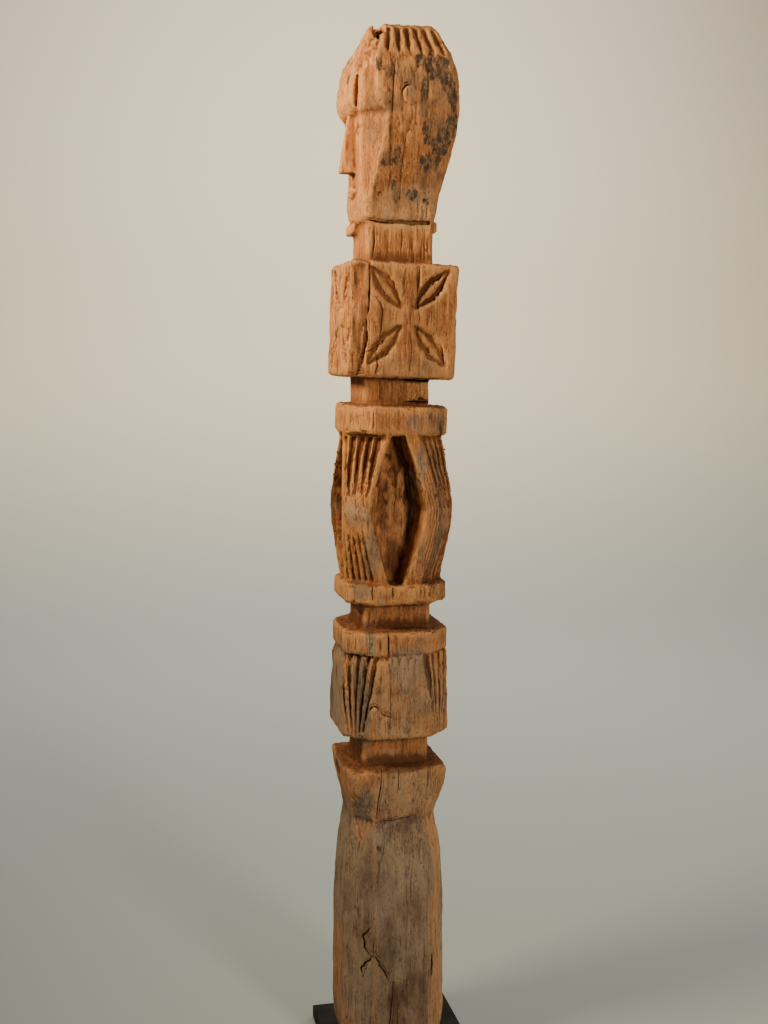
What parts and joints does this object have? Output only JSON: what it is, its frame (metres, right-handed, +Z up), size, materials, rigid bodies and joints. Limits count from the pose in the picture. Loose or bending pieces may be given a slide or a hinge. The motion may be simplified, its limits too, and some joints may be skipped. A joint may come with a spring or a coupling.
{
  "type": "carved marking post",
  "caption": "Tall weathered hardwood marking post carved as stacked blocks, collars, fluted sheaf and rosette box under a stylised head, standing on a square black plate.",
  "frame": {"origin": "centre of the plate's underside", "axes": "+Z up along the post, -Y the side that the figure faces"},
  "size_m": [0.232, 0.232, 1.6228],
  "materials": {
    "wood": "weathered bare hardwood",
    "plate": "satin black"
  },
  "bodies": {
    "root": {"carved_post": "wood", "stand_plate": "plate"}
  },
  "joints": []
}
